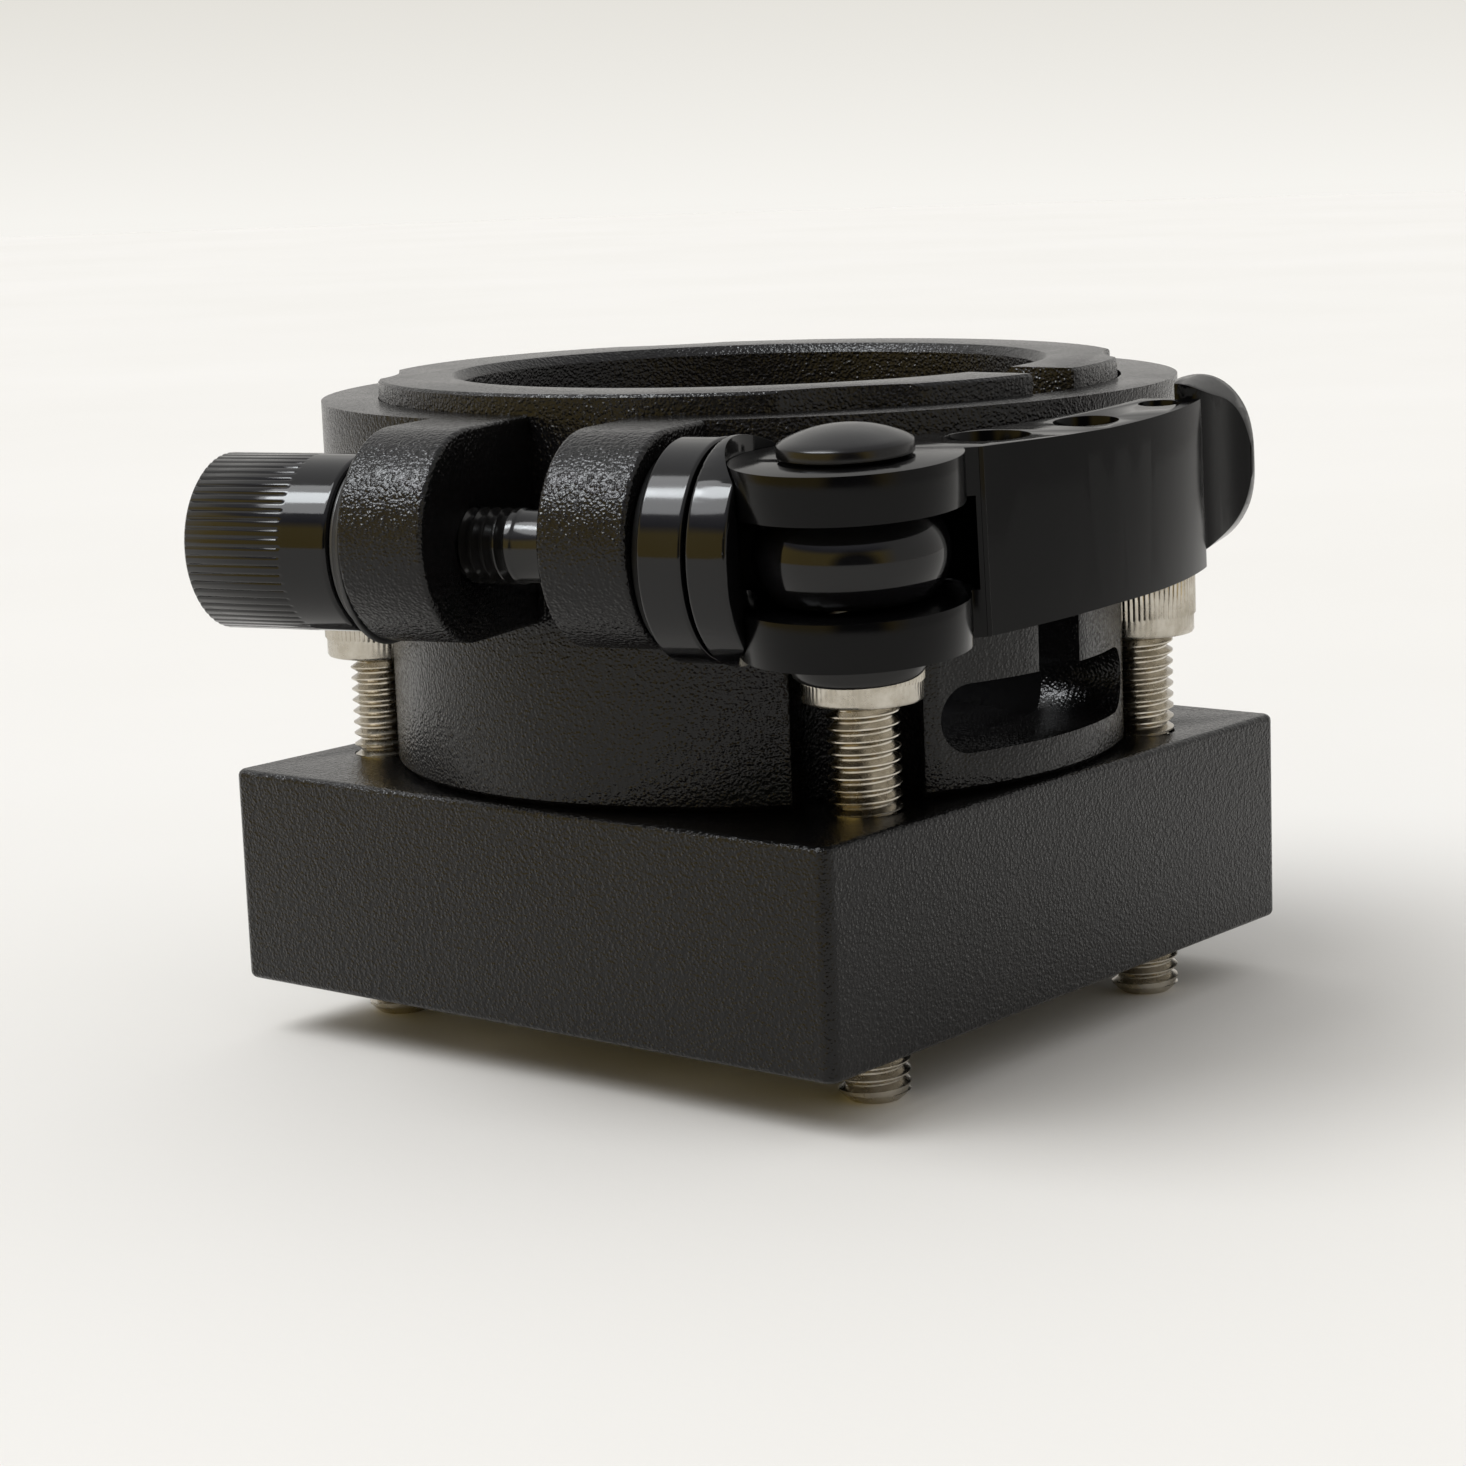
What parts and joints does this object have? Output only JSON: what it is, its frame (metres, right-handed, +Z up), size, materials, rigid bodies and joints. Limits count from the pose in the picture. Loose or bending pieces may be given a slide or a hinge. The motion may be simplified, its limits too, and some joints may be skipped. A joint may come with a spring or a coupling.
{
  "type": "quick-release collar clamp mount",
  "caption": "Square foot block with a slit ring hub and corner jacking screws; a split collar turns on the hub and is clamped by a draw bolt, an adjuster knob and a curved cam lever.",
  "frame": {"origin": "centre of the underside of the square foot block, on the collar axis", "axes": "+Z up along the collar axis, X and Y parallel to the sides of the foot block"},
  "size_m": [0.0859, 0.0922, 0.058],
  "materials": {
    "powder_coat": "satin black powder coat over aluminium, with a fine orange-peel texture",
    "stainless": "bright stainless steel, machined",
    "black_bolt": "blackened steel, oiled",
    "black_anodised": "glossy black anodised, turned",
    "cone_washer": "satin black anodised, turned",
    "ear_washer": "matt black slip washer",
    "lever_anodised": "glossy black anodised with bright edges",
    "pin_steel": "plain ground steel",
    "pin_cap": "satin black anodised, domed"
  },
  "bodies": {
    "base": {"foot_block": "powder_coat", "hub": "powder_coat", "hub_fixing_screws": "stainless"},
    "screw_front": {"jack_screw_front": "stainless"},
    "screw_left": {"jack_screw_left": "stainless"},
    "screw_right": {"jack_screw_right": "stainless"},
    "screw_rear": {"jack_screw_rear": "stainless"},
    "band": {"clamp_band": "powder_coat"},
    "bolt": {"draw_bolt": "black_bolt", "eye_barrel": "black_anodised", "cam_seat": "black_anodised"},
    "washer": {"ear_washer": "ear_washer"},
    "cone": {"cone_washer": "cone_washer"},
    "ring": {"thrust_ring": "black_anodised"},
    "knob": {"adjuster_knob": "black_anodised"},
    "lever": {"cam_lever": "lever_anodised", "pivot_pin": "pin_steel", "pin_cap_upper": "pin_cap", "pin_cap_lower": "pin_cap"}
  },
  "joints": [
    {"name": "jack_front", "type": "slide", "parent": "base", "child": "screw_front", "axis": [0, 0, 1], "range_m": [-0.0088, 0]},
    {"name": "jack_left", "type": "slide", "parent": "base", "child": "screw_left", "axis": [0, 0, 1], "range_m": [-0.0088, 0]},
    {"name": "jack_right", "type": "slide", "parent": "base", "child": "screw_right", "axis": [0, 0, 1], "range_m": [-0.0088, 0]},
    {"name": "jack_rear", "type": "slide", "parent": "base", "child": "screw_rear", "axis": [0, 0, 1], "range_m": [-0.0088, 0]},
    {"name": "band_turn", "type": "hinge", "parent": "base", "child": "band", "pos_m": [0, 0, 0.0428], "axis": [0, 0, 1], "continuous": true},
    {"name": "bolt_roll", "type": "hinge", "parent": "band", "child": "bolt", "pos_m": [0.01956, -0.03824, 0.042], "axis": [0.9659, 0.2588, 0], "range_deg": [-8, 8]},
    {"name": "cone_spin", "type": "hinge", "parent": "bolt", "child": "cone", "pos_m": [-0.00198, -0.04401, 0.042], "axis": [0.9659, 0.2588, 0], "continuous": true},
    {"name": "washer_spin", "type": "hinge", "parent": "bolt", "child": "washer", "pos_m": [0.02328, -0.03724, 0.042], "axis": [0.9659, 0.2588, 0], "continuous": true},
    {"name": "ring_spin", "type": "hinge", "parent": "bolt", "child": "ring", "pos_m": [0.02555, -0.03664, 0.042], "axis": [0.9659, 0.2588, 0], "continuous": true},
    {"name": "knob_spin", "type": "hinge", "parent": "bolt", "child": "knob", "pos_m": [-0.00941, -0.046, 0.042], "axis": [0.9659, 0.2588, 0], "continuous": true},
    {"name": "lever_swing", "type": "hinge", "parent": "bolt", "child": "lever", "pos_m": [0.03705, -0.03356, 0.042], "axis": [0.0181, -0.0674, 0.9976], "range_deg": [-130, 0]}
  ]
}
